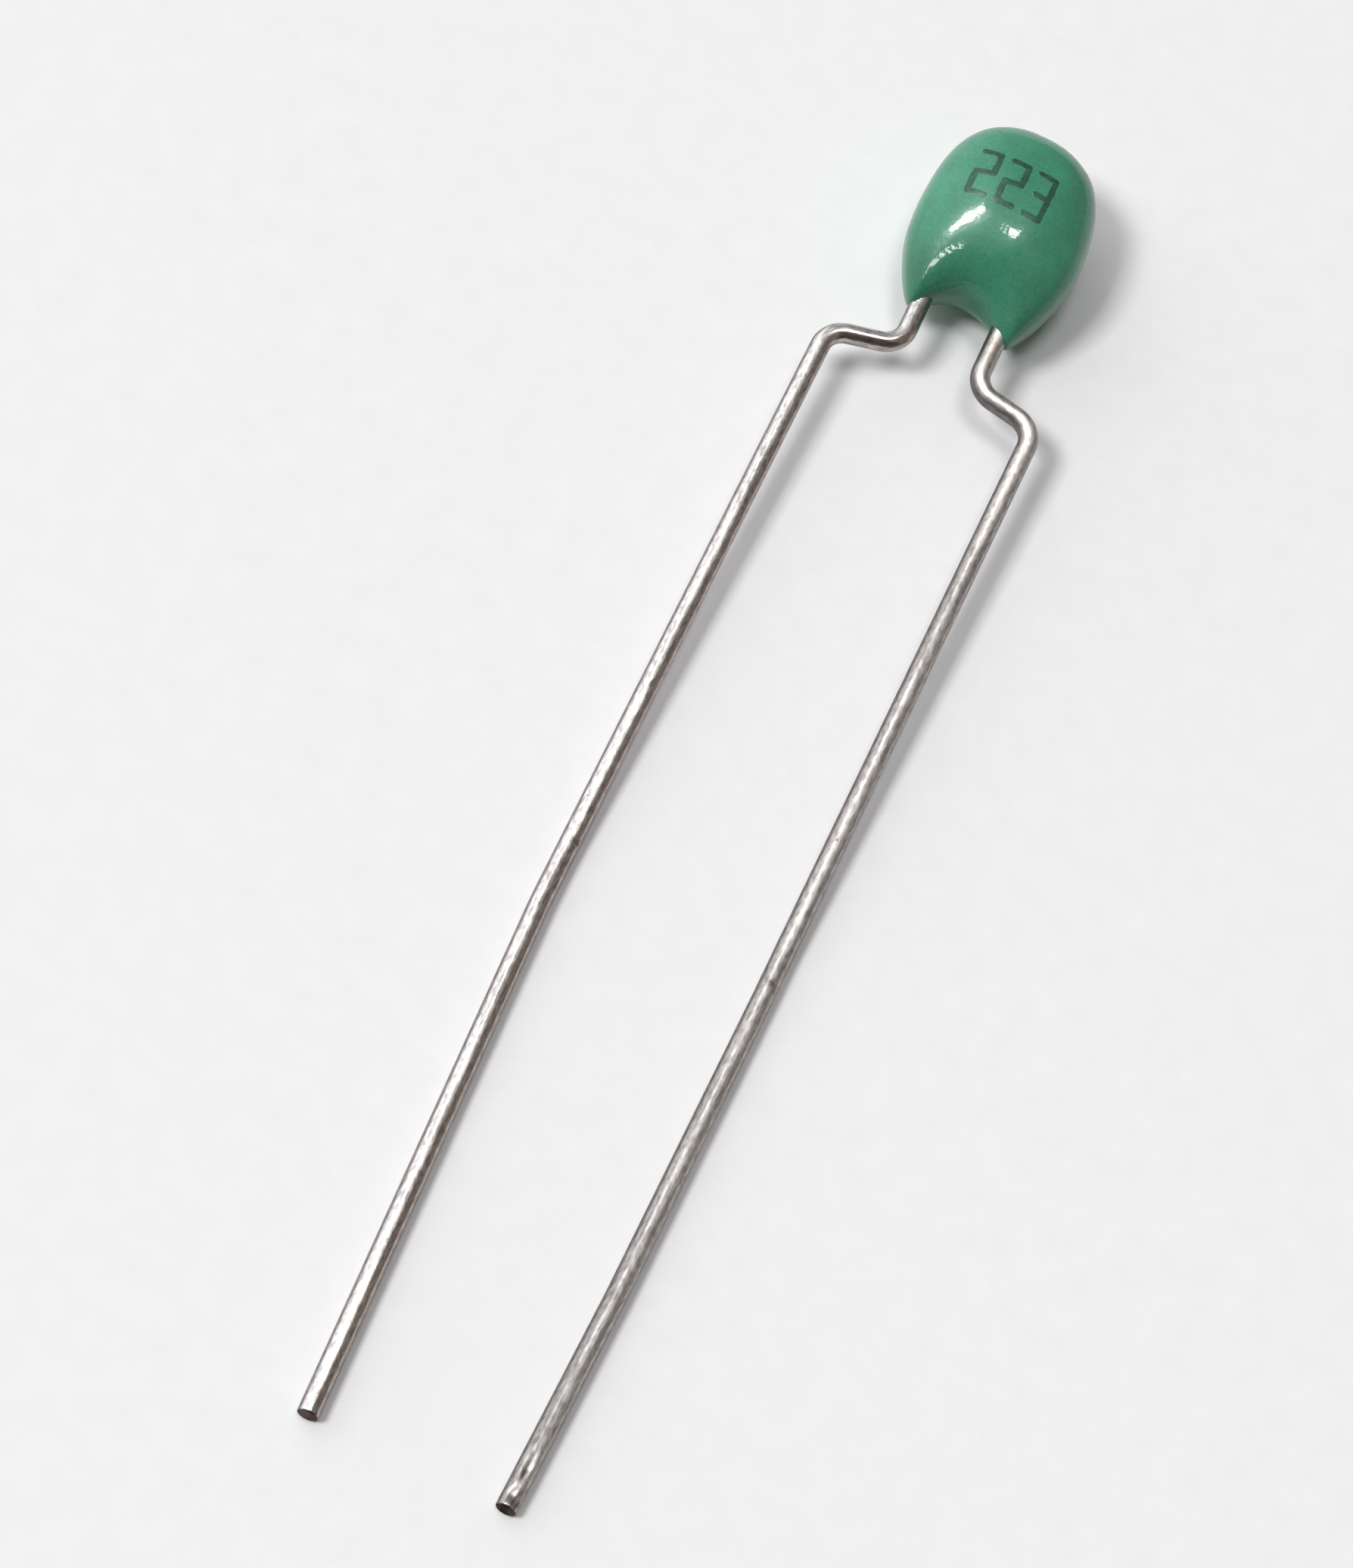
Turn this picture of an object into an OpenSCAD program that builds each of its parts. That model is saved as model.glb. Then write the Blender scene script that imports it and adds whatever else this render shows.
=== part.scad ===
// Ceramic disc capacitor with a dipped resin body and two kinked wire leads, lying at rest.
// The body's own frame has its origin at the middle of the disc: +X to the right of the printed
// face, +Y to the crown, +Z out of the printed face. The leads leave toward -Y.

/* [Body] */
// Width of the dipped body
body_w = 3.78; // [3.7:0.02:4.1]
// Height of the dipped body from its foot to its crown, without the legs
body_h = 4.6; // [4.5:0.02:5]
// Thickness of the dipped body
body_t = 2.8; // [2.74:0.02:3.2]
// Squareness of the body's oval: 2 is an ellipse
body_n = 2.37; // [2.3:0.01:2.8]

/* [Legs] */
// Width of the lobe of resin that runs down each lead
leg_w = 1; // [0.9:0.02:1.1]
// Thickness of each lobe
leg_t = 1.08; // [1:0.02:1.2]
// Half the length of each lobe
leg_half = 1.5; // [1.4:0.05:1.7]
// Distance from the middle of the body to the end of the left leg
left_leg_end = 2.91; // [2.8:0.01:3]
// Distance from the middle of the body to the end of the right leg
right_leg_end = 2.82; // [2.7:0.01:2.95]
// How far the middle of the left leg lies outside its lead
left_leg_offset = 0.2; // [0.1:0.01:0.25]
// How far the middle of the right leg lies outside its lead
right_leg_offset = 0.27; // [0.15:0.01:0.3]
// Slope of the left leg, whose inner side lies lower in its lobe
left_leg_slant = 0.17; // [0:0.01:0.4]
// Slope of the right leg, whose inner side lies lower in its lobe
right_leg_slant = 0.65; // [0.4:0.01:0.8]
// Squareness of a leg seen from the front: 2 is an ellipse, and less is pointed
leg_point_n = 1.52; // [1.4:0.02:2]
// Squareness of a leg across its thickness
leg_round_n = 2.5; // [2:0.1:3]
// Reach of the soft fillet between body and legs
leg_fillet = 0.83; // [0.6:0.01:0.9]

/* [Core] */
// Diameter of the ceramic disc
disc_d = 3; // [2.8:0.02:3.04]
// Thickness of the ceramic disc
disc_t = 0.7; // [0.5:0.02:0.74]
// Diameter of each silver electrode
electrode_d = 2.7; // [2.5:0.02:2.76]
// Thickness of each silver electrode
electrode_t = 0.03; // [0.02:0.005:0.05]
// Solder left between an electrode and its lead
solder_film = 0.03; // [0.02:0.005:0.06]
// Solder round a lead
solder_wall = 0.18; // [0.14:0.01:0.2]
// Length of lead that the solder covers at its full thickness
solder_run = 0.8; // [0.6:0.05:0.9]
// Length over which each end of the solder thins out along the lead
solder_taper = 0.36; // [0.2:0.02:0.4]

/* [Leads] */
// Diameter of the tinned wire
wire_d = 0.45; // [0.4:0.01:0.5]
// Spacing of the leads below their kinks
lead_pitch = 5.08; // [4.8:0.02:5.5]
// Spacing of the leads where they leave the legs
neck_pitch = 1.88; // [1.8:0.02:2]
// Distance from the middle of the body down to the middle of the left lead's kink
left_kink = 4.29; // [4.1:0.01:4.8]
// Distance from the middle of the body down to the middle of the right lead's kink
right_kink = 4.4; // [4.2:0.01:4.9]
// How far the left lead turns out of line in its kink
left_kink_angle = 75; // [65:1:82]
// How far the right lead turns out of line in its kink
right_kink_angle = 80; // [65:1:82]
// Radius of the bends that bring a lead from its electrode to the middle plane
crank_r = 0.4; // [0.3:0.02:0.5]
// Radius of the kink's bends along the middle of the wire
kink_r = 0.6; // [0.4:0.02:0.7]
// Outward lean that the left lead keeps below its kink
left_lean = 0.72; // [-2:0.01:2]
// Outward lean that the right lead keeps below its kink
right_lean = -0.89; // [-2:0.01:2]

/* [Rest] */
// Distance from the middle of the body to where the leads come down to lie flat
lead_reach = 18.4; // [15:0.1:22]
// Radius of the long bends along the middle of the wire
rest_r = 14; // [8:1:20]
// Straight wire between the bend that lays a lead flat and the bend that turns it inward
rest_gap = 0.5; // [0.2:0.1:2]
// Inward turn of the flat part of the left lead
left_toe = 2.13; // [0.2:0.01:5]
// Inward turn of the flat part of the right lead
right_toe = 0.62; // [0.2:0.01:5]
// Straight length at the end of the left lead
left_tip_run = 12.3; // [8:0.1:20]
// Straight length of the right lead between its inward turn and the turn near its end
right_flat_run = 7.4; // [4:0.1:12]
// Turn near the end of the right lead
right_tip_turn = 1.11; // [0.2:0.01:5]
// Straight length at the end of the right lead
right_tip_run = 5; // [3:0.1:8]

/* [Hidden] */
$fn = 48;

LEFT = -1;
RIGHT = 1;
FRONT = 1;
BACK = -1;

wire_r = wire_d / 2;
body_semi = [body_w, body_h, body_t] / 2;

// A bend swells the wire by a hair, and the straights bite into the bends by this much
bend_swell = 0.002;
bend_bite = 0.02;

// Height of an electrode's outer face and of the wire soldered to it, from the disc's middle plane
electrode_z = disc_t / 2 + electrode_t;
face_z = electrode_z + solder_film + wire_r;

// Crank that brings each lead from the disc's face to the middle plane, ending where the body's oval ends
crank_angle = 45;
crank_end = body_h / 2;
crank_run = (face_z - 2 * crank_r * (1 - cos(crank_angle))) / sin(crank_angle);
crank_h = 2 * crank_r * sin(crank_angle) + crank_run * cos(crank_angle);
wire_top = solder_run / 2;

// Height of the rounded oval over a floor that its back touches when the body is tilted
dual_n = body_n / (body_n - 1);
function oval_reach(along_y, along_z) =
    pow(pow(abs(body_semi.y * along_y), dual_n) + pow(abs(body_semi.z * along_z), dual_n), 1 / dual_n);

// Tilt at which the back of the body and the flat parts of both leads touch one floor
function settle(tilt, tries) =
    let (drop = oval_reach(sin(tilt), cos(tilt)) - wire_r - rest_r * (1 - cos(tilt)))
    tries == 0 ? tilt : settle(asin(drop / lead_reach), tries - 1);
tilt = settle(0, 8);
body_z = oval_reach(sin(tilt), cos(tilt));

// Matrices that turn and move a frame
function move(v) = [[1, 0, 0, v.x], [0, 1, 0, v.y], [0, 0, 1, v.z], [0, 0, 0, 1]];
function turn_x(a) = [[1, 0, 0, 0], [0, cos(a), -sin(a), 0], [0, sin(a), cos(a), 0], [0, 0, 0, 1]];
function turn_y(a) = [[cos(a), 0, sin(a), 0], [0, 1, 0, 0], [-sin(a), 0, cos(a), 0], [0, 0, 0, 1]];
function turn_z(a) = [[cos(a), -sin(a), 0, 0], [sin(a), cos(a), 0, 0], [0, 0, 1, 0], [0, 0, 0, 1]];

// A wire is a list of steps: [straight length, direction of the bend, angle of the bend, its radius].
// The wire runs along the frame's +Z. A bend's direction is measured about the wire from the frame's +X.
function after_step(s) =
    move([0, 0, s[0]]) * turn_z(s[1]) * move([s[3] * (1 - cos(s[2])), 0, s[3] * sin(s[2])])
    * turn_y(s[2]) * turn_z(-s[1]);
function walk(frame, steps, i = 0) =
    i == len(steps) ? [frame] : concat([frame], walk(frame * after_step(steps[i]), steps, i + 1));

// A lead starts on its electrode and runs down: the wire's +Z is the body's -Y, its +X the body's +X
function lead_start(side, face) =
    move([0, 0, body_z]) * turn_x(tilt) * move([side * neck_pitch / 2, wire_top, face * face_z]) * turn_x(90);

// Straight length across a kink, and the kink's height
kink_offset = (lead_pitch - neck_pitch) / 2;
function kink_run(a, lean) = (kink_offset - kink_r * (1 + cos(lean) - 2 * cos(a))) / sin(a);
function kink_h(a, lean) = kink_r * (2 * sin(a) - sin(lean)) + kink_run(a, lean) * cos(a);

// Steps of a lead from its electrode down to the start of its flat part
function upper_steps(side, face, kink, a, lean) =
    let (inward = face > 0 ? -90 : 90)
    let (outward = side > 0 ? 0 : 180)
    let (high = kink_h(a, lean))
    [
        [wire_top + crank_end - crank_h, inward, crank_angle, crank_r],
        [crank_run, -inward, crank_angle, crank_r],
        [kink - high / 2 - crank_end, outward, a, kink_r],
        [kink_run(a, lean), 180 - outward, a - lean, kink_r],
        [(lead_reach - kink - high / 2) / cos(lean), 90, tilt, rest_r],
    ];

left_steps = concat(upper_steps(LEFT, FRONT, left_kink, left_kink_angle, left_lean), [
    [rest_gap, 0, left_toe, rest_r],
    [left_tip_run, 0, 0, 0],
]);
right_steps = concat(upper_steps(RIGHT, BACK, right_kink, right_kink_angle, right_lean), [
    [rest_gap, 180, right_toe, rest_r],
    [right_flat_run, 180, right_tip_turn, rest_r],
    [right_tip_run, 0, 0, 0],
]);
left_frames = walk(lead_start(LEFT, FRONT), left_steps);
right_frames = walk(lead_start(RIGHT, BACK), right_steps);

// Shift that puts the origin at the middle of the bottom of the whole part
wire_xs = [for (f = concat(left_frames, right_frames)) f[0][3]];
wire_ys = [for (f = concat(left_frames, right_frames)) f[1][3]];
crown_y = oval_reach(cos(tilt), sin(tilt));
to_origin = -[(min(wire_xs) + max(wire_xs)) / 2, (min(wire_ys) + crown_y) / 2, 0];

// Distance-like measures of a point outside the body's rounded oval and outside a leg's lobe
function body_gap(p) =
    let (powers = [for (i = [0 : 2]) pow(abs(p[i]) / body_semi[i], body_n)])
    (pow(powers.x + powers.y + powers.z, 1 / body_n) - 1) * body_semi.z;
function leg_gap(p, side, end, offset, slant) =
    let (x = p.x - side * (neck_pitch / 2 + offset))
    let (y = p.y - leg_half + end - side * slant * x)
    let (plan = pow(abs(2 * x / leg_w), leg_point_n) + pow(abs(y / leg_half), leg_point_n))
    let (across = pow(abs(2 * p.z / leg_t), leg_round_n))
    (pow(pow(plan, leg_round_n / leg_point_n) + across, 1 / leg_round_n) - 1) * leg_t / 2;

// The lesser of two gaps, with a fillet where they are about equal, and the skin of body and legs
function soft_min(a, b) =
    let (near = max(leg_fillet - abs(a - b), 0) / leg_fillet)
    min(a, b) - near * near * leg_fillet / 4;
function skin_gap(p) =
    let (left = leg_gap(p, LEFT, left_leg_end, left_leg_offset, left_leg_slant))
    let (right = leg_gap(p, RIGHT, right_leg_end, right_leg_offset, right_leg_slant))
    soft_min(soft_min(body_gap(p), left), right);

// Radius of the skin along a direction, halved in on between a point inside and a point outside
function skin_radius(u, lo, hi, tries) =
    let (mid = (lo + hi) / 2)
    tries == 0 ? mid
    : skin_gap(mid * u) < 0 ? skin_radius(u, mid, hi, tries - 1) : skin_radius(u, lo, mid, tries - 1);
function skin_point(from_crown, round_y) =
    let (u = [sin(from_crown) * cos(round_y), cos(from_crown), sin(from_crown) * sin(round_y)])
    u * skin_radius(u, disc_t / 2, body_h, 22);

// The skin is rings of points from the crown to the notch, closer together toward the legs
skin_rows = 48;
skin_columns = 64;
function row_angle(i) = 180 * (1 - pow(1 - i / skin_rows, 1.3));
function ring_index(i, j) = 1 + (i - 1) * skin_columns + j % skin_columns;

// Moves a piece from the body's own frame to where the part lies
module at_rest() {
    translate(to_origin + [0, 0, body_z]) rotate([tilt, 0, 0]) children();
}

// One bend of the wire: from the origin along +Z, turning toward +X
module wire_bend(angle, radius) {
    translate([radius, 0, 0])
        rotate([90, 0, 180])
            rotate_extrude(angle = angle)
                translate([radius, 0])
                    circle(d = wire_d + bend_swell);
}

// A bent wire: each step is a straight and then a bend, and the straights bite into the bends
module wire(steps, frames) {
    translate(to_origin)
        for (i = [0 : len(steps) - 1])
            multmatrix(frames[i]) {
                before = i > 0 ? bend_bite : 0;
                after = i < len(steps) - 1 ? bend_bite : 0;
                translate([0, 0, -before]) cylinder(d = wire_d, h = before + steps[i][0] + after);
                if (after > 0)
                    translate([0, 0, steps[i][0]])
                        rotate(steps[i][1])
                            wire_bend(steps[i][2], steps[i][3]);
            }
}

// Outer skin of the dipped resin, solid
module dipped_skin() {
    rings = [for (i = [1 : skin_rows - 1]) for (j = [0 : skin_columns - 1])
        skin_point(row_angle(i), 360 * j / skin_columns)];
    points = concat([skin_point(0, 0)], rings, [skin_point(180, 0)]);
    last = len(points) - 1;
    crown = [for (j = [0 : skin_columns - 1]) [0, ring_index(1, j), ring_index(1, j + 1)]];
    sides = [for (i = [1 : skin_rows - 2]) for (j = [0 : skin_columns - 1]) for (half = [0, 1])
        half == 0
        ? [ring_index(i, j + 1), ring_index(i, j), ring_index(i + 1, j)]
        : [ring_index(i, j + 1), ring_index(i + 1, j), ring_index(i + 1, j + 1)]];
    notch = [for (j = [0 : skin_columns - 1])
        [last, ring_index(skin_rows - 1, j + 1), ring_index(skin_rows - 1, j)]];
    polyhedron(points, concat(crown, sides, notch));
}

// Silver film on one face of the disc
module electrode(face) {
    at_rest()
        translate([0, 0, face * (disc_t / 2 + electrode_t / 2)])
            cylinder(d = electrode_d, h = electrode_t, center = true);
}

// Solder that wraps the end of a lead, cut off level at this height over the disc's middle plane
module solder(side, face, floor_z) {
    thick_r = wire_r + solder_wall;
    thin_r = wire_r + solder_film;
    thick_y = solder_run / 2;
    thin_y = thick_y + solder_taper;
    at_rest()
        intersection() {
            translate([side * neck_pitch / 2, 0, face * face_z])
                rotate([90, 0, 0])
                    rotate_extrude()
                        polygon([[0, -thin_y], [thin_r, -thin_y], [thick_r, -thick_y],
                                 [thick_r, thick_y], [thin_r, thin_y], [0, thin_y]]);
            translate([0, 0, face * (floor_z + disc_d)])
                cube(2 * disc_d, center = true);
        }
}

module resin_coating() {
    color([0.28, 0.57, 0.44])
        difference() {
            at_rest() dipped_skin();
            ceramic_disc();
            at_rest() cylinder(d = electrode_d, h = 2 * electrode_z, center = true);
            solder(LEFT, FRONT, 0);
            solder(RIGHT, BACK, 0);
            left_lead();
            right_lead();
        }
}

module ceramic_disc() {
    color([0.72, 0.62, 0.48])
        at_rest() cylinder(d = disc_d, h = disc_t, center = true);
}

module front_electrode() {
    color([0.85, 0.85, 0.86])
        electrode(FRONT);
}

module back_electrode() {
    color([0.85, 0.85, 0.86])
        electrode(BACK);
}

module front_solder() {
    color([0.66, 0.67, 0.69])
        difference() {
            solder(LEFT, FRONT, electrode_z);
            left_lead();
        }
}

module back_solder() {
    color([0.66, 0.67, 0.69])
        difference() {
            solder(RIGHT, BACK, electrode_z);
            right_lead();
        }
}

module left_lead() {
    color([0.74, 0.74, 0.76])
        wire(left_steps, left_frames);
}

module right_lead() {
    color([0.74, 0.74, 0.76])
        wire(right_steps, right_frames);
}

resin_coating();
ceramic_disc();
front_electrode();
back_electrode();
front_solder();
back_solder();
left_lead();
right_lead();
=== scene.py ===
"""Dresses the ceramic disc capacitor: green dipped resin, a printed value code, tinned leads."""
import math

import bpy
import numpy as np
from mathutils import Matrix, Vector


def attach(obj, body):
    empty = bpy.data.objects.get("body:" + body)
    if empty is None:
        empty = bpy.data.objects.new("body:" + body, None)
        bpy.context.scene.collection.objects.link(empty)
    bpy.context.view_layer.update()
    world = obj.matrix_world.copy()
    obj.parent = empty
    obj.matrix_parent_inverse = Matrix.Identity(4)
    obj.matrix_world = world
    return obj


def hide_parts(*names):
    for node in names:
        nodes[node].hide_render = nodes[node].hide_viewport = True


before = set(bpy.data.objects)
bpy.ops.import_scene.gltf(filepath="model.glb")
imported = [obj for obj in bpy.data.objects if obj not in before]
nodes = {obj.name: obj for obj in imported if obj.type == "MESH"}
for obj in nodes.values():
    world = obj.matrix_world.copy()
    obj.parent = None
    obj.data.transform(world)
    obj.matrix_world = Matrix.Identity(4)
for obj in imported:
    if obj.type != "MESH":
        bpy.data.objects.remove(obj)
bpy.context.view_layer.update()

MM = 0.001
MICROMETRE = 1e-6
LEFT, RIGHT = -1, 1
FRONT, BACK = 1, -1

# Sizes in millimetres and degrees, the same as the part's own.
# Dipped body and the legs that run down the leads
BODY_SEMI = np.array([3.78, 4.6, 2.8]) / 2
BODY_N = 2.37
LEG_W, LEG_T, LEG_HALF, LEG_FILLET = 1.0, 1.08, 1.5, 0.83
LEG_END = {LEFT: 2.91, RIGHT: 2.82}
LEG_OFFSET = {LEFT: 0.2, RIGHT: 0.27}
LEG_SLANT = {LEFT: 0.17, RIGHT: 0.65}
LEG_POINT, LEG_ROUND = 1.52, 2.5
# Core that the leads are soldered to
DISC_T, ELECTRODE_T, SOLDER_FILM, SOLDER_RUN = 0.7, 0.03, 0.03, 0.8
# Leads
WIRE_R = 0.225
LEAD_PITCH, NECK_PITCH = 5.08, 1.88
KINK = {LEFT: 4.29, RIGHT: 4.4}
KINK_ANGLE = {LEFT: 75, RIGHT: 80}
KINK_R = 0.6
LEAN = {LEFT: 0.72, RIGHT: -0.89}
CRANK_ANGLE, CRANK_R = 45, 0.4
# Where the leads come down to lie flat, and how their flat parts turn
LEAD_REACH, REST_R, REST_GAP = 18.4, 14, 0.5
FLAT_TURNS = {LEFT: [(2.13, 12.3)], RIGHT: [(0.62, 7.4), (1.11, 5.0)]}

FACE_Z = DISC_T / 2 + ELECTRODE_T + SOLDER_FILM + WIRE_R
WIRE_TOP = SOLDER_RUN / 2

# Fineness of the meshes
SKIN_ROWS, SKIN_COLUMNS, SKIN_CROWDING = 250, 320, 1.3
WIRE_SIDES, RING_PITCH = 64, 0.045
INK_CELL = 0.012
# Rounds of the searches for the resting tilt and for the skin, and distances the skin lies between
SETTLE_ROUNDS, HALVINGS = 8, 28
SKIN_NEAR, SKIN_FAR, FACE_FAR = 0.3, 4.6, 3.0


def sin(degrees):
    return math.sin(math.radians(degrees))


def cos(degrees):
    return math.cos(math.radians(degrees))


# How the part lies: the back of the body and the flat parts of both leads touch one floor
def oval_reach(along_y, along_z):
    n = BODY_N / (BODY_N - 1)
    return (abs(BODY_SEMI[1] * along_y) ** n + abs(BODY_SEMI[2] * along_z) ** n) ** (1 / n)


def settle():
    """Angle by which the body leans."""
    tilt = 0.0
    for _ in range(SETTLE_ROUNDS):
        drop = oval_reach(sin(tilt), cos(tilt)) - WIRE_R - REST_R * (1 - cos(tilt))
        tilt = math.degrees(math.asin(drop / LEAD_REACH))
    return tilt


TILT = settle()
BODY_Z = oval_reach(sin(TILT), cos(TILT))
TO_REST = Matrix.Translation((0, 0, BODY_Z)) @ Matrix.Rotation(math.radians(TILT), 4, "X")


# Leads: steps of a straight and a bend, as (length, direction of the bend, angle, radius)
def kink_sizes(angle, lean):
    """Straight length across a kink, and the kink's height."""
    offset = (LEAD_PITCH - NECK_PITCH) / 2
    run = (offset - KINK_R * (1 + cos(lean) - 2 * cos(angle))) / sin(angle)
    return run, KINK_R * (2 * sin(angle) - sin(lean)) + run * cos(angle)


def lead_steps(side, face):
    inward = -90 if face == FRONT else 90
    outward = 0 if side == RIGHT else 180
    crank_run = (FACE_Z - 2 * CRANK_R * (1 - cos(CRANK_ANGLE))) / sin(CRANK_ANGLE)
    crank_h = 2 * CRANK_R * sin(CRANK_ANGLE) + crank_run * cos(CRANK_ANGLE)
    crank_end = BODY_SEMI[1]
    angle, lean = KINK_ANGLE[side], LEAN[side]
    run, high = kink_sizes(angle, lean)
    steps = [
        (WIRE_TOP + crank_end - crank_h, inward, CRANK_ANGLE, CRANK_R),
        (crank_run, -inward, CRANK_ANGLE, CRANK_R),
        (KINK[side] - high / 2 - crank_end, outward, angle, KINK_R),
        (run, 180 - outward, angle - lean, KINK_R),
        ((LEAD_REACH - KINK[side] - high / 2) / cos(lean), 90, TILT, REST_R),
    ]
    straight = REST_GAP
    for turn, after in FLAT_TURNS[side]:
        steps.append((straight, 180 - outward, turn, REST_R))
        straight = after
    return steps + [(straight, 0, 0, 0)]


def bend_frame(angle, radius):
    arc = Matrix.Translation((radius * (1 - cos(angle)), 0, radius * sin(angle)))
    return arc @ Matrix.Rotation(math.radians(angle), 4, "Y")


def lead_frames(side, face, pitch):
    """Frames along the middle of a lead, about one pitch apart, each with the wire along its +Z."""
    place = TO_REST @ Matrix.Translation((side * NECK_PITCH / 2, WIRE_TOP, face * FACE_Z))
    start = place @ Matrix.Rotation(math.radians(90), 4, "X")
    frames = [start]
    for length, direction, angle, radius in lead_steps(side, face):
        count = max(1, round(length / pitch))
        stops = [length * i / count for i in range(1, count + 1)]
        frames += [start @ Matrix.Translation((0, 0, stop)) for stop in stops]
        turn = Matrix.Rotation(math.radians(direction), 4, "Z")
        at_bend = start @ Matrix.Translation((0, 0, length)) @ turn
        if angle:
            count = max(2, round(math.radians(angle) * radius / pitch))
            arcs = [bend_frame(angle * i / count, radius) for i in range(1, count + 1)]
            frames += [at_bend @ arc @ turn.inverted() for arc in arcs]
        start = at_bend @ bend_frame(angle, radius) @ turn.inverted()
    return frames


LEADS = {
    LEFT: lead_frames(LEFT, FRONT, RING_PITCH),
    RIGHT: lead_frames(RIGHT, BACK, RING_PITCH),
}


# The part's origin is the middle of the bottom of its box
def origin_shift():
    xs = [f.translation.x for side in LEADS for f in LEADS[side]]
    ys = [f.translation.y for side in LEADS for f in LEADS[side]]
    crown = oval_reach(cos(TILT), sin(TILT))
    return Vector((-(min(xs) + max(xs)) / 2, -(min(ys) + crown) / 2, 0))


SHIFT = Matrix.Translation(origin_shift())
BODY_TO_PART = SHIFT @ TO_REST


def moved(matrix, points):
    """Points (n, 3) through a 4x4 matrix."""
    m = np.array(matrix)
    return points @ m[:3, :3].T + m[:3, 3]


# Dipped skin
def oval(p, semi, n):
    return (np.abs(p / semi) ** n).sum(-1) ** (1 / n) - 1


def leg_gap(p, side):
    """A leg's lobe: pointed in plan, round across, and slanted so its inner side hangs lower."""
    x = p[..., 0] - side * (NECK_PITCH / 2 + LEG_OFFSET[side])
    y = p[..., 1] - LEG_HALF + LEG_END[side] - side * LEG_SLANT[side] * x
    across_plan = np.abs(2 * x / LEG_W) ** LEG_POINT
    plan = (across_plan + np.abs(y / LEG_HALF) ** LEG_POINT) ** (1 / LEG_POINT)
    across = np.abs(2 * p[..., 2] / LEG_T)
    return ((plan**LEG_ROUND + across**LEG_ROUND) ** (1 / LEG_ROUND) - 1) * LEG_T / 2


def soft_min(a, b):
    """The lesser of two gaps, with a fillet where they are about equal."""
    near = np.maximum(LEG_FILLET - np.abs(a - b), 0) / LEG_FILLET
    return np.minimum(a, b) - near**2 * LEG_FILLET / 4


def skin_gap(p):
    body = oval(p, BODY_SEMI, BODY_N) * BODY_SEMI[2]
    return soft_min(soft_min(body, leg_gap(p, LEFT)), leg_gap(p, RIGHT))


def halve_in(at, lo, hi):
    """Where skin_gap changes sign along each of many lines, at(t) giving the points."""
    for _ in range(HALVINGS):
        mid = (lo + hi) / 2
        inside = skin_gap(at(mid)) < 0
        lo, hi = np.where(inside, mid, lo), np.where(inside, hi, mid)
    return (lo + hi) / 2


def skin_points(from_crown, round_y):
    from_crown, round_y = np.broadcast_arrays(from_crown, round_y)
    ring = np.sin(from_crown)
    u = np.stack([ring * np.cos(round_y), np.cos(from_crown), ring * np.sin(round_y)], -1)
    near, far = np.full(u.shape[:-1], SKIN_NEAR), np.full(u.shape[:-1], SKIN_FAR)
    radius = halve_in(lambda t: u * t[..., None], near, far)
    return u * radius[..., None]


def face_height(x, y):
    """Height of the printed face over the disc's middle plane."""
    near, far = np.zeros(x.shape), np.full(x.shape, FACE_FAR)
    return halve_in(lambda z: np.stack([x, y, z], -1), near, far)


# Meshes
def add_mesh(name, points, faces, body="root"):
    """A smooth mesh object from points in millimetres in the part's frame."""
    mesh = bpy.data.meshes.new(name)
    mesh.from_pydata((np.asarray(points) * MM).tolist(), [], faces)
    mesh.validate()
    mesh.update()
    mesh.shade_smooth()
    obj = bpy.data.objects.new(name, mesh)
    bpy.context.collection.objects.link(obj)
    if body:
        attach(obj, body)
    return obj


def grid_faces(rows, columns, closed, first=0):
    """Quads between rows of points; closed joins each row's last point to its first."""
    faces = []
    for i in range(rows - 1):
        for j in range(columns if closed else columns - 1):
            a, b = first + i * columns + j, first + i * columns + (j + 1) % columns
            faces.append((a, b, b + columns, a + columns))
    return faces


def add_vector_attribute(obj, name, values):
    attribute = obj.data.attributes.new(name, "FLOAT_VECTOR", "POINT")
    attribute.data.foreach_set("vector", np.asarray(values, np.float32).ravel())


def build_coating():
    """The skin in rings from its crown to the notch, closer together near the legs."""
    rows, columns = SKIN_ROWS, SKIN_COLUMNS
    t = np.linspace(0, 1, rows + 1)[1:-1]
    from_crown = np.radians(180 * (1 - (1 - t) ** SKIN_CROWDING))
    round_y = np.linspace(0, 2 * np.pi, columns, endpoint=False)
    rings = skin_points(from_crown[:, None], round_y[None, :]).reshape(-1, 3)
    poles = skin_points(np.array([0.0, np.pi]), np.array([0.0, 0.0]))
    points = np.concatenate([poles, rings])
    last = 2 + (rows - 2) * columns
    faces = grid_faces(rows - 1, columns, True, 2)
    faces += [(0, 2 + (j + 1) % columns, 2 + j) for j in range(columns)]
    faces += [(1, last + j, last + (j + 1) % columns) for j in range(columns)]
    obj = add_mesh("resin_skin", moved(BODY_TO_PART, points), faces)
    add_vector_attribute(obj, "place", points)
    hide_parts("resin_coating")
    return obj


# Dents in the wires: angle from the top, length from the tip, half sizes along and around, depth
DENTS = {
    LEFT: [
        (-30, 15.2, 0.1, 0.06, 0.025),
        (38, 14.05, 0.07, 0.07, 0.04),
        (20, 18.2, 0.08, 0.05, 0.02),
    ],
    RIGHT: [
        (2, 0.95, 0.3, 0.09, 0.045),
        (-8, 0.3, 0.16, 0.09, 0.04),
        (35, 0.2, 0.2, 0.1, 0.04),
    ],
}
# Rounded rim of a cut end, as (length from the tip, share of the radius)
TIP_RIM = [(0.05, 1.0), (0.025, 0.97), (0.01, 0.92), (0.0, 0.84), (0.005, 0.55)]


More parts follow.
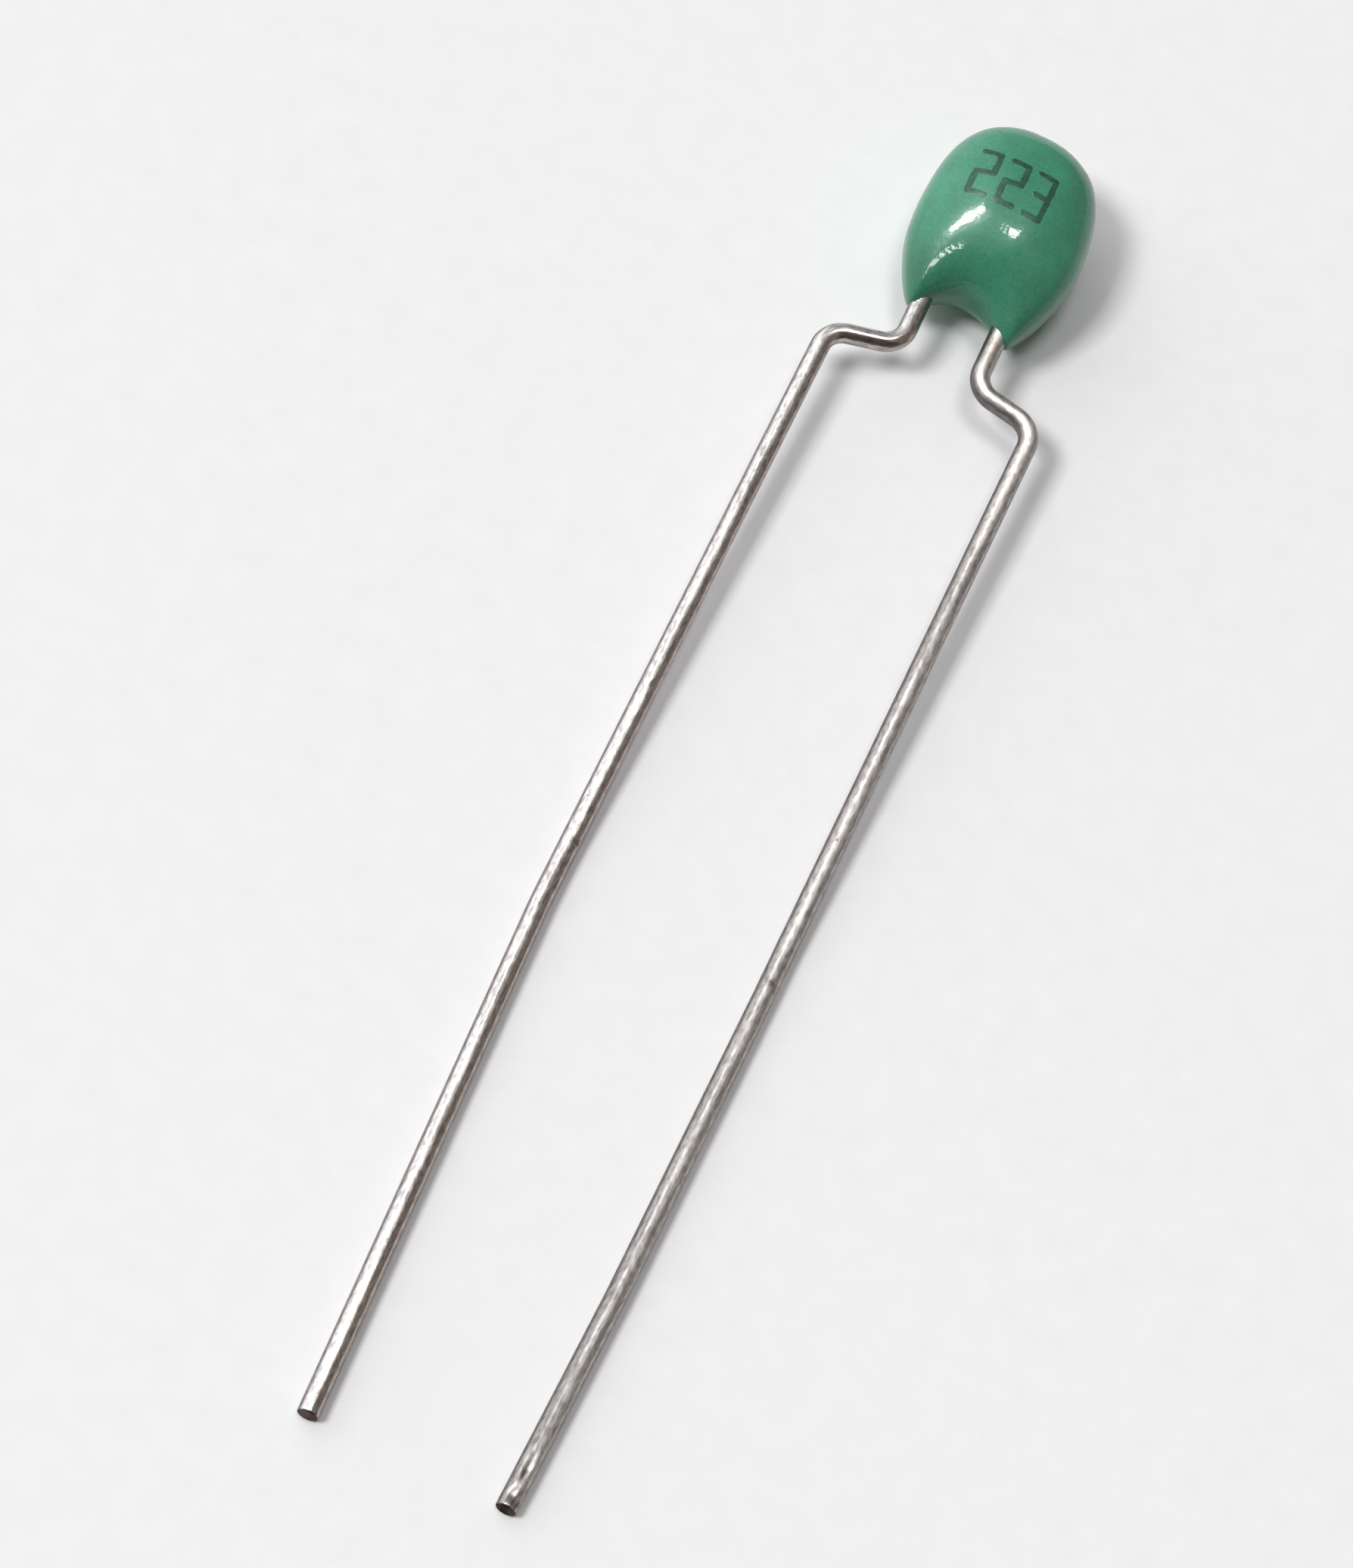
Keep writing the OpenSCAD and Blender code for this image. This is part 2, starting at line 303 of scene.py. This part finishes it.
def wire_radius(side, angle, from_tip):
    """Radius of a lead's surface by the angle from its top and the length from its tip."""
    radius = np.full(np.shape(angle), WIRE_R)
    for at, length, half_along, half_round, depth in DENTS[side]:
        turn = (angle - math.radians(at) + np.pi) % (2 * np.pi) - np.pi
        away = (turn * WIRE_R / half_round) ** 2 + ((from_tip - length) / half_along) ** 2
        radius -= depth * np.exp(-away)
    return radius


def lead_rings(side):
    """Rings of a lead from the solder to the tip, as (frame, length from the tip, radius share)."""
    frames = LEADS[side]
    steps = [(b.translation - a.translation).length for a, b in zip(frames, frames[1:])]
    from_tip = np.append(np.cumsum(steps[::-1])[::-1], 0.0)
    rings = [(f, length, 1.0) for f, length in zip(frames, from_tip) if length > TIP_RIM[0][0]]
    for length, share in TIP_RIM:
        rings.append((frames[-1] @ Matrix.Translation((0, 0, -length)), length, share))
    return rings


def build_lead(node, side):
    """A lead closed at both ends; its place attribute is x to the right, y up, z from the tip."""
    sides = WIRE_SIDES
    rings = lead_rings(side)
    angles = np.linspace(0, 2 * np.pi, sides, endpoint=False)
    around = np.stack([np.sin(angles), np.cos(angles), np.zeros(sides)], -1)
    points, places = [], []
    for f, length, share in rings:
        ring = around * (wire_radius(side, angles, length) * share)[:, None]
        points.append(moved(SHIFT @ f, ring))
        places.append(ring - [0, 0, length])
    for f, length, _ in (rings[0], rings[-1]):
        points.append(moved(SHIFT @ f, np.zeros((1, 3))))
        places.append(np.array([[0, 0, -length]]))
    points, places = np.concatenate(points), np.concatenate(places)
    last, top, tip = len(points) - 2 - sides, len(points) - 2, len(points) - 1
    faces = grid_faces(len(rings), sides, True)
    faces += [((j + 1) % sides, j, top) for j in range(sides)]
    faces += [(last + j, last + (j + 1) % sides, tip) for j in range(sides)]
    obj = add_mesh(node + "_wire", points, [tuple(reversed(f)) for f in faces])
    add_vector_attribute(obj, "place", places)
    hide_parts(node)
    return obj


# Printed value code: box-stroke figures on the face, as points in a figure one wide and one high
CODE = "223"
CODE_MIDDLE, CODE_TURN = (-0.23, 0.16), -1.0
FIGURES = {
    "2": [[(0, 1), (1, 1), (1, 0.52), (0, 0.48), (0, 0), (1, 0)]],
    "3": [[(0, 1), (1, 1), (1, 0), (0, 0)], [(0.15, 0.5), (1, 0.5)]],
}
FIGURE_W, FIGURE_H, FIGURE_PITCH = 0.38, 1.16, 0.675
STROKE_W, INK_LIFT, INK_T = 0.152, 0.004, 0.012
# Ragged strokes: share of the width, radians per millimetre of the waves along x and y and of the
# waves that bend them, and by how much
RAGGED_SHARE, RAGGED_X, RAGGED_Y, RAGGED_BEND = 0.1, (9, 4), (8, 5), 3


def distance_to_line(p, a, b):
    a, b = np.array(a), np.array(b)
    along = np.clip(((p - a) @ (b - a)) / ((b - a) @ (b - a)), 0, 1)
    return np.linalg.norm(p - a - along[..., None] * (b - a), axis=-1)


def code_distance(p):
    """Distance of points in the print's own plane from the nearest stroke."""
    nearest = np.full(p.shape[:-1], np.inf)
    for k, figure in enumerate(CODE):
        left = (k - (len(CODE) - 1) / 2) * FIGURE_PITCH - FIGURE_W / 2
        for line in FIGURES[figure]:
            points = [(left + x * FIGURE_W, (y - 0.5) * FIGURE_H) for x, y in line]
            for a, b in zip(points, points[1:]):
                nearest = np.minimum(nearest, distance_to_line(p, a, b))
    return nearest


def raggedness(x, y):
    along_x = np.sin(RAGGED_X[0] * x + RAGGED_BEND * np.sin(RAGGED_X[1] * y))
    along_y = np.sin(RAGGED_Y[0] * y + RAGGED_BEND * np.sin(RAGGED_Y[1] * x))
    return RAGGED_SHARE * along_x * along_y


def film_faces(quads, count):
    """Faces of a film: the quads, the same over points count further on, and walls around."""
    edges = {(q[k], q[(k + 1) % 4]) for q in quads for k in range(4)}
    rim = sorted((a, b) for a, b in edges if (b, a) not in edges)
    below = [tuple(i + count for i in reversed(q)) for q in quads]
    return quads + below + [(b, a, a + count, b + count) for a, b in rim]


def build_code():
    half_w = len(CODE) * FIGURE_PITCH / 2
    half_h = FIGURE_H / 2 + STROKE_W
    xs = np.arange(-half_w, half_w, INK_CELL)
    ys = np.arange(-half_h, half_h, INK_CELL)
    x, y = np.meshgrid(xs, ys)
    inside = code_distance(np.stack([x, y], -1)) < STROKE_W / 2 * (1 + raggedness(x, y))
    face_x = CODE_MIDDLE[0] + x * cos(CODE_TURN) - y * sin(CODE_TURN)
    face_y = CODE_MIDDLE[1] + x * sin(CODE_TURN) + y * cos(CODE_TURN)
    points = np.stack([face_x, face_y, face_height(face_x, face_y) + INK_LIFT], -1)
    cells = inside[:-1, :-1] & inside[1:, :-1] & inside[:-1, 1:] & inside[1:, 1:]
    quads = np.array(grid_faces(len(ys), len(xs), False))[cells.ravel()]
    used, packed = np.unique(quads, return_inverse=True)
    quads = packed.reshape(-1, 4).tolist()
    top = points.reshape(-1, 3)[used]
    points = np.concatenate([top, top - [0, 0, INK_T]])
    obj = add_mesh("value_code", moved(BODY_TO_PART, points), film_faces(quads, len(top)))
    for wall in obj.data.polygons[2 * len(quads):]:
        wall.use_smooth = False
    add_vector_attribute(obj, "place", points)
    return obj


coating = build_coating()
left_wire = build_lead("left_lead", LEFT)
right_wire = build_lead("right_lead", RIGHT)
code = build_code()

# Looks. A noise is (scale per millimetre, detail); a stretched noise is (stretch, detail).
# A bump is a noise and its height in micrometres. Ramps are lists of (position, colour).
WHITE, BLACK = (1, 1, 1), (0, 0, 0)

RESIN_GLOSS = {"IOR": 1.35, "Specular IOR Level": 0.3, "Coat Weight": 0.5, "Coat Roughness": 0.09}
RESIN_CLOUDS, RESIN_GRAIN = (1.1, 3), (15.0, 2)
RESIN_COLOUR = [(0.37, (0.040, 0.212, 0.123)), (0.63, (0.056, 0.285, 0.172))]
# Painted shade: the colour darkens down the body between these heights, standing in for the shade
# on its lower part
SHADE_FROM, SHADE_TO = -0.6, -2.4
RESIN_LOW_SHADE = [(0, WHITE), (1, (0.7, 0.68, 0.68))]
FLECKS_PER_MM = 1.6
RESIN_FLECK = [(0.035, (0.35, 0.4, 0.4)), (0.06, WHITE)]
RESIN_SHEEN, RESIN_ROUGHNESS = (4.0, 2), (0.3, 0.42)
RESIN_WAVES, RESIN_PEEL = ((1.3, 1), 15), ((6.0, 2), 4.3)

INK_COLOUR = [(0.35, (0.008, 0.060, 0.040)), (0.75, (0.016, 0.105, 0.070))]
INK_CLOUDS, INK_SHEEN, INK_ROUGHNESS, INK_IOR = (6.0, 4), (12.0, 2), (0.2, 0.35), 1.5

TIN_EDGE = (0.6, 0.57, 0.55, 1)
TIN_MOTTLE, TIN_PATCHES = ((16, 16, 5), 4), ((2, 2, 0.7), 4)
TIN_RIPPLE, TIN_RIPPLE_HEIGHT = ((4, 4, 0.5), 2), 4
TIN_PITS = ((14, 14, 7), 2)
# Share of the painted shade across a lead, on the band of its top where its highlight falls, and
# the length it is given over
HIGHLIGHT_BAND = [(0.1, BLACK), (0.3, WHITE), (0.5, WHITE), (0.72, BLACK)]
HIGHLIGHT_SHADE_LENGTH = 28.0
CUT_LENGTH = 0.1
CUT_TARNISH = [(0.6, WHITE), (0.9, (0.16, 0.13, 0.13))]
STAIN_COLOUR = [(0, (0.3, 0.24, 0.2)), (1, WHITE)]
STAIN_RAGGED, STAIN_EDGE = (9.0, 3), 2.2
# Each lead: colours of its mottle, range of roughness, height of its pits in micrometres, painted
# shade from its left side to its right (a dark left rim and a darker right side), painted shade on
# the band of its top where its highlight falls, along the lead from the tip (or none), and stains
# as (angle from the top, length from the tip, size)
BRIGHT_TIN = {
    "mottle": [(0.36, (0.48, 0.45, 0.43)), (0.6, (0.80, 0.79, 0.78))],
    "roughness": (0.1, 0.36),
    "pit_height": 2.2,
    # painted shade: dark left rim, darker right side
    "sides": [(0.08, (0.5, 0.47, 0.47)), (0.17, WHITE), (0.48, WHITE), (0.64, (0.64, 0.6, 0.58))],
    "highlight_band_shade": None,
    "stains": [(38, 14.05, 0.09), (-30, 15.15, 0.04)],
}
DULL_TIN = {
    "mottle": [(0.36, (0.32, 0.30, 0.285)), (0.6, (0.53, 0.52, 0.51))],
    "roughness": (0.2, 0.64),
    "pit_height": 2.5,
    # painted shade: dark left rim, slightly darker right edge
    "sides": [(0.08, (0.5, 0.47, 0.47)), (0.17, WHITE), (0.9, WHITE), (0.97, (0.85, 0.83, 0.82))],
    # painted shade over the highlight band, by length from the tip
    "highlight_band_shade": [
        (0.075, (0.32, 0.32, 0.32)), (0.23, (0.45, 0.45, 0.45)), (0.37, (0.57, 0.57, 0.57)),
        (0.7, (0.6, 0.6, 0.6)), (0.82, (0.45, 0.45, 0.45)), (0.94, (0.9, 0.88, 0.85)),
    ],
    "stains": [(8, 13.0, 0.1), (-10, 16.7, 0.035), (5, 0.8, 0.12), (35, 0.15, 0.1)],
}

# Pieces inside the resin: grain per millimetre, and the colours of the grain
CERAMIC = 14, [(0.35, (0.42, 0.30, 0.17)), (0.7, (0.52, 0.39, 0.24))]
SILVER = 30, [(0.35, (0.62, 0.61, 0.60)), (0.7, (0.75, 0.74, 0.73))]
SOLDER = 8, [(0.35, (0.42, 0.42, 0.43)), (0.7, (0.58, 0.58, 0.59))]
CORE_DETAIL, CORE_BUMP = 4, 6


def new_material(name, inputs):
    """A material and its shader, with the shader's constant inputs set."""
    material = bpy.data.materials.new(name)
    material.use_nodes = True
    shader = material.node_tree.nodes["Principled BSDF"]
    for key, value in inputs.items():
        shader.inputs[key].default_value = value
    return material, shader


def add_node(tree, kind, inputs=None, **settings):
    """A node with its settings made and its inputs set or linked."""
    node = tree.nodes.new(kind)
    for key, value in settings.items():
        setattr(node, key, value)
    for key, value in (inputs or {}).items():
        if isinstance(value, bpy.types.NodeSocket):
            tree.links.new(value, node.inputs[key])
        else:
            node.inputs[key].default_value = value
    return node


def place_of(tree):
    """A piece's own coordinates in millimetres."""
    return add_node(tree, "ShaderNodeAttribute", attribute_name="place").outputs["Vector"]


def metres_of(tree):
    return add_node(tree, "ShaderNodeTexCoord").outputs["Object"]


def split(tree, vector):
    return add_node(tree, "ShaderNodeSeparateXYZ", {"Vector": vector}).outputs


def noise_at(tree, vector, scale, detail):
    inputs = {"Vector": vector, "Scale": scale, "Detail": detail}
    return add_node(tree, "ShaderNodeTexNoise", inputs).outputs["Fac"]


def stretched_noise(tree, vector, stretch, detail):
    """A noise with its own scale along each axis."""
    inputs = {0: vector, 1: stretch}
    stretched = add_node(tree, "ShaderNodeVectorMath", inputs, operation="MULTIPLY")
    return noise_at(tree, stretched.outputs["Vector"], 1.0, detail)


def ramp(tree, value, stops):
    """A colour for each value, from (position, colour) stops."""
    node = add_node(tree, "ShaderNodeValToRGB", {"Fac": value})
    elements = node.color_ramp.elements
    while len(elements) < len(stops):
        elements.new(0.5)
    for element, (position, colour) in zip(elements, stops):
        element.position = position
        element.color = (*colour, 1)
    return node.outputs["Color"]


def spread(tree, value, low, high):
    """A value from 0..1 spread between two others."""
    inputs = {"Value": value, "To Min": low, "To Max": high}
    return add_node(tree, "ShaderNodeMapRange", inputs, clamp=False).outputs["Result"]


def between(tree, value, low, high):
    """How far a value is from low to high, kept within 0..1."""
    inputs = {"Value": value, "From Min": low, "From Max": high}
    return add_node(tree, "ShaderNodeMapRange", inputs).outputs["Result"]


# Places of the colour sockets of a Mix node, whose names repeat
MIX_FACTOR, MIX_A, MIX_B, MIX_RESULT = 0, 6, 7, 2


def multiply(tree, a, b, share=1.0):
    """One colour times another, in full or by a share."""
    inputs = {MIX_FACTOR: share, MIX_A: a, MIX_B: b}
    node = add_node(tree, "ShaderNodeMix", inputs, data_type="RGBA", blend_type="MULTIPLY")
    return node.outputs[MIX_RESULT]


def bump(tree, height, micrometres, normal=None):
    inputs = {"Height": height, "Distance": micrometres * MICROMETRE, "Strength": 1.0}
    if normal:
        inputs["Normal"] = normal
    return add_node(tree, "ShaderNodeBump", inputs).outputs["Normal"]


def wire_up(tree, shader, **sockets):
    for key, value in sockets.items():
        tree.links.new(value, shader.inputs[key.replace("_", " ")])


def resin_material():
    material, shader = new_material("dipped_resin", RESIN_GLOSS)
    tree = material.node_tree
    place = place_of(tree)
    clouds, grain = noise_at(tree, place, *RESIN_CLOUDS), noise_at(tree, place, *RESIN_GRAIN)
    both = add_node(tree, "ShaderNodeMath", {0: clouds, 1: grain}, operation="ADD")
    mean = spread(tree, both.outputs["Value"], 0, 0.5)
    resin = ramp(tree, mean, RESIN_COLOUR)
    # painted shade: the resin darkens towards the legs
    down = between(tree, split(tree, place)["Y"], SHADE_FROM, SHADE_TO)
    resin = multiply(tree, resin, ramp(tree, down, RESIN_LOW_SHADE))
    cells = add_node(tree, "ShaderNodeTexVoronoi", {"Vector": place, "Scale": FLECKS_PER_MM})
    resin = multiply(tree, resin, ramp(tree, cells.outputs["Distance"], RESIN_FLECK))
    roughness = spread(tree, noise_at(tree, place, *RESIN_SHEEN), *RESIN_ROUGHNESS)
    normal = None
    for noise, height in (RESIN_WAVES, RESIN_PEEL):
        normal = bump(tree, noise_at(tree, place, *noise), height, normal)
    wire_up(tree, shader, Base_Color=resin, Roughness=roughness, Normal=normal, Coat_Normal=normal)
    return material


def ink_material():
    material, shader = new_material("marking_ink", {"IOR": INK_IOR})
    tree = material.node_tree
    place = place_of(tree)
    ink = ramp(tree, noise_at(tree, place, *INK_CLOUDS), INK_COLOUR)
    roughness = spread(tree, noise_at(tree, place, *INK_SHEEN), *INK_ROUGHNESS)
    wire_up(tree, shader, Base_Color=ink, Roughness=roughness)
    return material


def stain_on(tree, place, angle, length, size):
    """Colour of one ragged round stain on a lead."""
    spot = (WIRE_R * sin(angle), WIRE_R * cos(angle), -length)
    far = add_node(tree, "ShaderNodeVectorMath", {0: place, 1: spot}, operation="DISTANCE")
    inputs = {0: noise_at(tree, place, *STAIN_RAGGED), 1: 2 * size, 2: far.outputs["Value"]}
    ragged = add_node(tree, "ShaderNodeMath", inputs, operation="MULTIPLY_ADD")
    edge = between(tree, ragged.outputs["Value"], size, STAIN_EDGE * size)
    return ramp(tree, edge, STAIN_COLOUR)


def wire_material(name, mottle, roughness, pit_height, sides, highlight_band_shade, stains):
    """Tinned wire: mottled, with painted shade along its sides and over the highlight band on its
    top, stained, cut dark.
    """
    material, shader = new_material(name, {"Metallic": 1.0, "Specular Tint": TIN_EDGE})
    tree = material.node_tree
    place = place_of(tree)
    parts = split(tree, place)
    across = between(tree, parts["X"], -WIRE_R, WIRE_R)
    tin = ramp(tree, stretched_noise(tree, place, *TIN_MOTTLE), mottle)
    # painted shade across the lead: a dark left rim and a darker right side
    tin = multiply(tree, tin, ramp(tree, across, sides))
    # painted shade over the band where the highlight falls, varied along the lead
    if highlight_band_shade:
        along = between(tree, parts["Z"], 0, -HIGHLIGHT_SHADE_LENGTH)
        tin = multiply(tree, tin, ramp(tree, along, highlight_band_shade), ramp(tree, across, HIGHLIGHT_BAND))
    at_tip = between(tree, parts["Z"], -CUT_LENGTH, 0)
    tin = multiply(tree, tin, ramp(tree, at_tip, CUT_TARNISH))
    for stain in stains:
        tin = multiply(tree, tin, stain_on(tree, place, *stain))
    patches = spread(tree, stretched_noise(tree, place, *TIN_PATCHES), *roughness)
    ripple = bump(tree, stretched_noise(tree, place, *TIN_RIPPLE), TIN_RIPPLE_HEIGHT)
    pits = bump(tree, stretched_noise(tree, place, *TIN_PITS), pit_height, ripple)
    wire_up(tree, shader, Base_Color=tin, Roughness=patches, Normal=pits)
    return material


def core_material(name, grain, colours, roughness, metallic=0.0):
    """A plain grainy material for a piece inside the resin, in the part's own metres."""
    material, shader = new_material(name, {"Roughness": roughness, "Metallic": metallic})
    tree = material.node_tree
    specks = noise_at(tree, metres_of(tree), grain / MM, CORE_DETAIL)
    normal = bump(tree, specks, CORE_BUMP)
    wire_up(tree, shader, Base_Color=ramp(tree, specks, colours), Normal=normal)
    return material


def dress(obj, material):
    obj.data.materials.clear()
    obj.data.materials.append(material)


dress(coating, resin_material())
dress(code, ink_material())
dress(left_wire, wire_material("bright_tin", **BRIGHT_TIN))
dress(right_wire, wire_material("dull_tin", **DULL_TIN))
dress(nodes["ceramic_disc"], core_material("ceramic", *CERAMIC, roughness=0.7))
silver = core_material("fired_silver", *SILVER, roughness=0.45, metallic=1.0)
solder = core_material("solder", *SOLDER, roughness=0.35, metallic=1.0)
for name, material in [("electrode", silver), ("solder", solder)]:
    dress(nodes["front_" + name], material)
    dress(nodes["back_" + name], material)

# Stage: a sheet of white paper
PAPER_SIZE = 600.0
PAPER_ROUGHNESS = 0.9
PAPER_FIBRES, PAPER_BUMP = (1.4 / MM, 4), 7
PAPER_COLOUR = [(0.3, (0.82, 0.823, 0.84)), (0.7, (0.845, 0.848, 0.865))]


def build_paper():
    half = PAPER_SIZE / 2
    corners = [(-half, -half, 0), (half, -half, 0), (half, half, 0), (-half, half, 0)]
    paper = add_mesh("paper", corners, [(0, 1, 2, 3)], None)
    material, shader = new_material("paper", {"Roughness": PAPER_ROUGHNESS})
    tree = material.node_tree
    fibres = noise_at(tree, metres_of(tree), *PAPER_FIBRES)
    colour = ramp(tree, fibres, PAPER_COLOUR)
    wire_up(tree, shader, Base_Color=colour, Normal=bump(tree, fibres, PAPER_BUMP))
    dress(paper, material)


build_paper()

# Light: two soft lamps that shade the part, five for its gloss alone, and a dim room with a bright
# side at the left. A lamp is (name, direction from the body, direction of its length, distance,
# length and width in metres, watts, colour).
BODY_MIDDLE = BODY_TO_PART.translation * MM
X_WAYS, Y_WAYS = (1, 0, 0), (0, 1, 0)
STREAK_WAYS, GLINT_WAYS = (0.252, 0.387, 0.079), (0.47, 0.76, 0.44)
SOFT_WHITE, STREAK_WHITE, SPOT_WHITE = (1.0, 0.99, 0.975), (1.0, 0.99, 0.98), (1.0, 0.99, 0.97)
WALL_PINK = (1.0, 0.86, 0.78)
SHADING_LAMPS = [
    ("key", (-0.49, -0.37, 0.79), X_WAYS, 0.9, (0.22, 0.22), 4.9, SOFT_WHITE),
    ("fill", (0.0, -0.03, 1.0), X_WAYS, 0.9, (0.24, 0.24), 1.8, SOFT_WHITE),
]
GLOSS_LAMPS = [
    ("streak", (-0.41, 0.085, 0.905), STREAK_WAYS, 0.45, (0.21, 0.055), 2.2, STREAK_WHITE),
    ("glow", (-0.40, 0.05, 0.91), STREAK_WAYS, 0.46, (0.27, 0.13), 0.4, STREAK_WHITE),
    ("spot", (0.118, 0.13, 0.984), X_WAYS, 0.5, (0.065, 0.065), 0.8, SPOT_WHITE),
    ("glint", (-0.262, -0.348, 0.90), GLINT_WAYS, 0.45, (0.008, 0.08), 0.15, SPOT_WHITE),
    ("wall", (0.75, 0.35, 0.55), Y_WAYS, 1.0, (1.6, 1.6), 1.6, WALL_PINK),
]
ROOM_BRIGHT_SIDE = (-0.9, 0.3, 0.3)
ROOM = [
    (0.5, (0.09, 0.08, 0.074)), (0.75, (0.27, 0.267, 0.267)),
    (0.875, (0.7, 0.7, 0.705)), (0.97, (1.4, 1.4, 1.42)),
]


def add_lamp(name, towards, along, distance, size, power, colour):
    data = bpy.data.lights.new(name, "AREA")
    data.shape = "RECTANGLE"
    data.size, data.size_y = size
    data.energy = power
    data.color = colour
    lamp = bpy.data.objects.new(name, data)
    back = Vector(towards).normalized()
    x_axis = (Vector(along) - Vector(along).dot(back) * back).normalized()
    y_axis = back.cross(x_axis)
    turn = Matrix((x_axis, y_axis, back)).transposed().to_4x4()
    lamp.matrix_world = Matrix.Translation(BODY_MIDDLE + back * distance) @ turn
    bpy.context.collection.objects.link(lamp)
    return lamp


for lamp in SHADING_LAMPS:
    add_lamp(*lamp).visible_glossy = False
for lamp in GLOSS_LAMPS:
    add_lamp(*lamp).visible_diffuse = False


def build_room():
    world = bpy.data.worlds.new("room")
    bpy.context.scene.world = world
    world.use_nodes = True
    tree = world.node_tree
    inputs = {0: add_node(tree, "ShaderNodeTexCoord").outputs["Generated"], 1: ROOM_BRIGHT_SIDE}
    towards = add_node(tree, "ShaderNodeVectorMath", inputs, operation="DOT_PRODUCT")
    colour = ramp(tree, between(tree, towards.outputs["Value"], -1.0, 1.0), ROOM)
    tree.links.new(colour, tree.nodes["Background"].inputs["Color"])


build_room()

# Camera: the photo's own view, in degrees, millimetres and the photo's pixels
CAMERA_TURN, CAMERA_RISE, CAMERA_ROLL = -0.133, 60.097, 25.680
CAMERA_DISTANCE, CAMERA_TARGET = 109.306, (-1.129, -0.848, 0)
PIXELS_PER_MM, IMAGE_H, SENSOR_H = 62.339, 2072, 36.0
CLIP_START = 0.001


def rotation(degrees, axis):
    return Matrix.Rotation(math.radians(degrees), 4, axis)


def build_camera():
    data = bpy.data.cameras.new("camera")
    data.sensor_fit = "VERTICAL"
    data.sensor_height = SENSOR_H
    data.lens = PIXELS_PER_MM * CAMERA_DISTANCE * SENSOR_H / IMAGE_H
    data.clip_start = CLIP_START
    camera = bpy.data.objects.new("camera", data)
    turn = rotation(CAMERA_TURN, "Z") @ rotation(90 - CAMERA_RISE, "X") @ rotation(CAMERA_ROLL, "Z")
    place = Matrix.Translation(Vector(CAMERA_TARGET) * MM) @ turn
    camera.matrix_world = place @ Matrix.Translation((0, 0, CAMERA_DISTANCE * MM))
    bpy.context.collection.objects.link(camera)
    bpy.context.scene.camera = camera


build_camera()
bpy.context.scene.view_settings.view_transform = "Standard"
